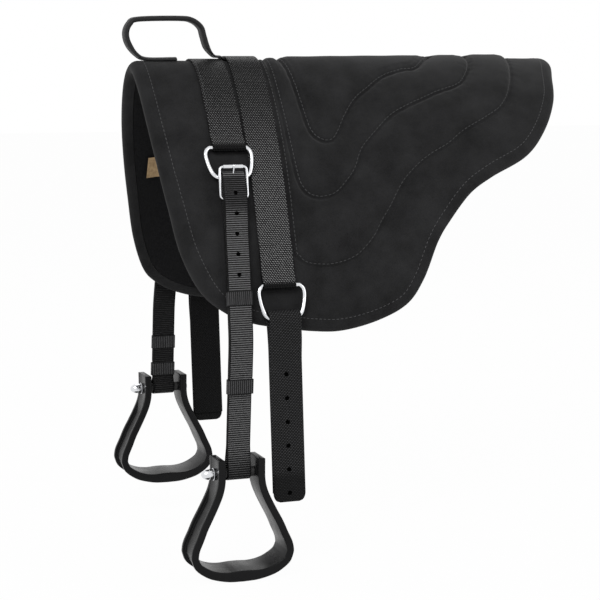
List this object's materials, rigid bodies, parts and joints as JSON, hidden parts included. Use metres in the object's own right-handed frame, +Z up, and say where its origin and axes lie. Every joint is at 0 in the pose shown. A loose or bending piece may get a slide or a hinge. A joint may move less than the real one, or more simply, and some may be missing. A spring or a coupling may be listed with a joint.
{
  "type": "bareback pad",
  "caption": "Padded bareback riding pad with grab handle, rigging webs, buckled stirrup straps, stirrups and hanging latigo straps.",
  "frame": {"origin": "on the underside of the pad, on its ridge line, at mid-length, where the horse's spine runs", "axes": "+X towards the rear of the pad, +Y to the rider's right, +Z up"},
  "size_m": [0.6238, 0.413, 0.7244],
  "materials": {
    "suede": "black suede with a short matt nap",
    "foam": "closed-cell foam",
    "felt": "dark needled felt",
    "webbing": "black nylon webbing",
    "handle_web": "black stuffed web",
    "patch": "plain tan leather",
    "latigo_web": "black nylon webbing",
    "keeper_web": "black ribbed webbing",
    "chrome": "bright plated steel",
    "cast_black": "black moulded, half gloss",
    "sleeve": "black sleeve"
  },
  "bodies": {
    "root": {"suede_cover": "suede", "foam_core": "foam", "felt_lining": "felt", "front_rigging_web": "webbing", "rear_rigging_web": "webbing", "grab_handle": "handle_web", "lining_patch": "patch"},
    "left_front_dee": {"left_front_dee": "chrome"},
    "left_stirrup_strap": {"left_stirrup_strap": "webbing", "left_buckle_frame": "chrome", "left_buckle_tongue": "chrome"},
    "left_buckle_roller": {"left_buckle_roller": "chrome"},
    "left_upper_keeper": {"left_upper_keeper": "keeper_web"},
    "left_lower_keeper": {"left_lower_keeper": "keeper_web"},
    "left_stirrup": {"left_stirrup": "cast_black", "left_stirrup_bolt": "chrome", "left_stirrup_bolt_nut": "chrome", "left_bolt_sleeve": "sleeve"},
    "left_rear_dee": {"left_rear_dee": "chrome"},
    "left_latigo": {"left_latigo": "latigo_web"},
    "right_front_dee": {"right_front_dee": "chrome"},
    "right_stirrup_strap": {"right_stirrup_strap": "webbing", "right_buckle_frame": "chrome", "right_buckle_tongue": "chrome"},
    "right_buckle_roller": {"right_buckle_roller": "chrome"},
    "right_upper_keeper": {"right_upper_keeper": "keeper_web"},
    "right_lower_keeper": {"right_lower_keeper": "keeper_web"},
    "right_stirrup": {"right_stirrup": "cast_black", "right_stirrup_bolt": "chrome", "right_stirrup_bolt_nut": "chrome", "right_bolt_sleeve": "sleeve"},
    "right_rear_dee": {"right_rear_dee": "chrome"},
    "right_latigo": {"right_latigo": "latigo_web"}
  },
  "joints": [
    {"name": "left_front_dee_swing", "type": "hinge", "parent": "root", "child": "left_front_dee", "pos_m": [-0.207, -0.10849, -0.09255], "axis": [-1, 0, 0], "range_deg": [0, 90]},
    {"name": "left_strap_swing", "type": "hinge", "parent": "left_front_dee", "child": "left_stirrup_strap", "pos_m": [-0.207, -0.12774, -0.12999], "axis": [-1, 0, 0], "range_deg": [0, 50]},
    {"name": "left_roller_spin", "type": "hinge", "parent": "left_stirrup_strap", "child": "left_buckle_roller", "pos_m": [-0.20657, -0.13067, -0.116], "axis": [1, 0, 0], "continuous": true},
    {"name": "left_upper_keeper_slide", "type": "slide", "parent": "left_stirrup_strap", "child": "left_upper_keeper", "axis": [0.0303, 0.2071, 0.9778], "range_m": [-0.012, 0.028]},
    {"name": "left_lower_keeper_slide", "type": "slide", "parent": "left_stirrup_strap", "child": "left_lower_keeper", "axis": [0.031, 0, 0.9995], "range_m": [-0.025, 0.028]},
    {"name": "left_stirrup_swing", "type": "hinge", "parent": "left_stirrup_strap", "child": "left_stirrup", "pos_m": [-0.21869, -0.18051, -0.507], "axis": [-1, 0, 0], "range_deg": [-60, 60]},
    {"name": "left_rear_dee_swing", "type": "hinge", "parent": "root", "child": "left_rear_dee", "pos_m": [-0.154, -0.1669, -0.26818], "axis": [-1, 0, 0], "range_deg": [0, 90]},
    {"name": "left_latigo_swing", "type": "hinge", "parent": "left_rear_dee", "child": "left_latigo", "pos_m": [-0.154, -0.17726, -0.30825], "axis": [-1, 0, 0], "range_deg": [0, 60]},
    {"name": "right_front_dee_swing", "type": "hinge", "parent": "root", "child": "right_front_dee", "pos_m": [-0.2075, 0.10849, -0.09255], "axis": [1, 0, 0], "range_deg": [0, 90]},
    {"name": "right_strap_swing", "type": "hinge", "parent": "right_front_dee", "child": "right_stirrup_strap", "pos_m": [-0.2075, 0.12774, -0.12999], "axis": [1, 0, 0], "range_deg": [0, 50]},
    {"name": "right_roller_spin", "type": "hinge", "parent": "right_stirrup_strap", "child": "right_buckle_roller", "pos_m": [-0.20708, 0.13067, -0.116], "axis": [1, 0, 0], "continuous": true},
    {"name": "right_upper_keeper_slide", "type": "slide", "parent": "right_stirrup_strap", "child": "right_upper_keeper", "axis": [0.03, 0, 0.9995], "range_m": [-0.008, 0.025]},
    {"name": "right_lower_keeper_slide", "type": "slide", "parent": "right_stirrup_strap", "child": "right_lower_keeper", "axis": [0.03, 0, 0.9995], "range_m": [-0.002, 0.008]},
    {"name": "right_stirrup_swing", "type": "hinge", "parent": "right_stirrup_strap", "child": "right_stirrup", "pos_m": [-0.21734, 0.18051, -0.458], "axis": [1, 0, 0], "range_deg": [-60, 60]},
    {"name": "right_rear_dee_swing", "type": "hinge", "parent": "root", "child": "right_rear_dee", "pos_m": [-0.154, 0.1669, -0.26818], "axis": [1, 0, 0], "range_deg": [0, 90]},
    {"name": "right_latigo_swing", "type": "hinge", "parent": "right_rear_dee", "child": "right_latigo", "pos_m": [-0.154, 0.17726, -0.30825], "axis": [1, 0, 0], "range_deg": [0, 60]}
  ]
}
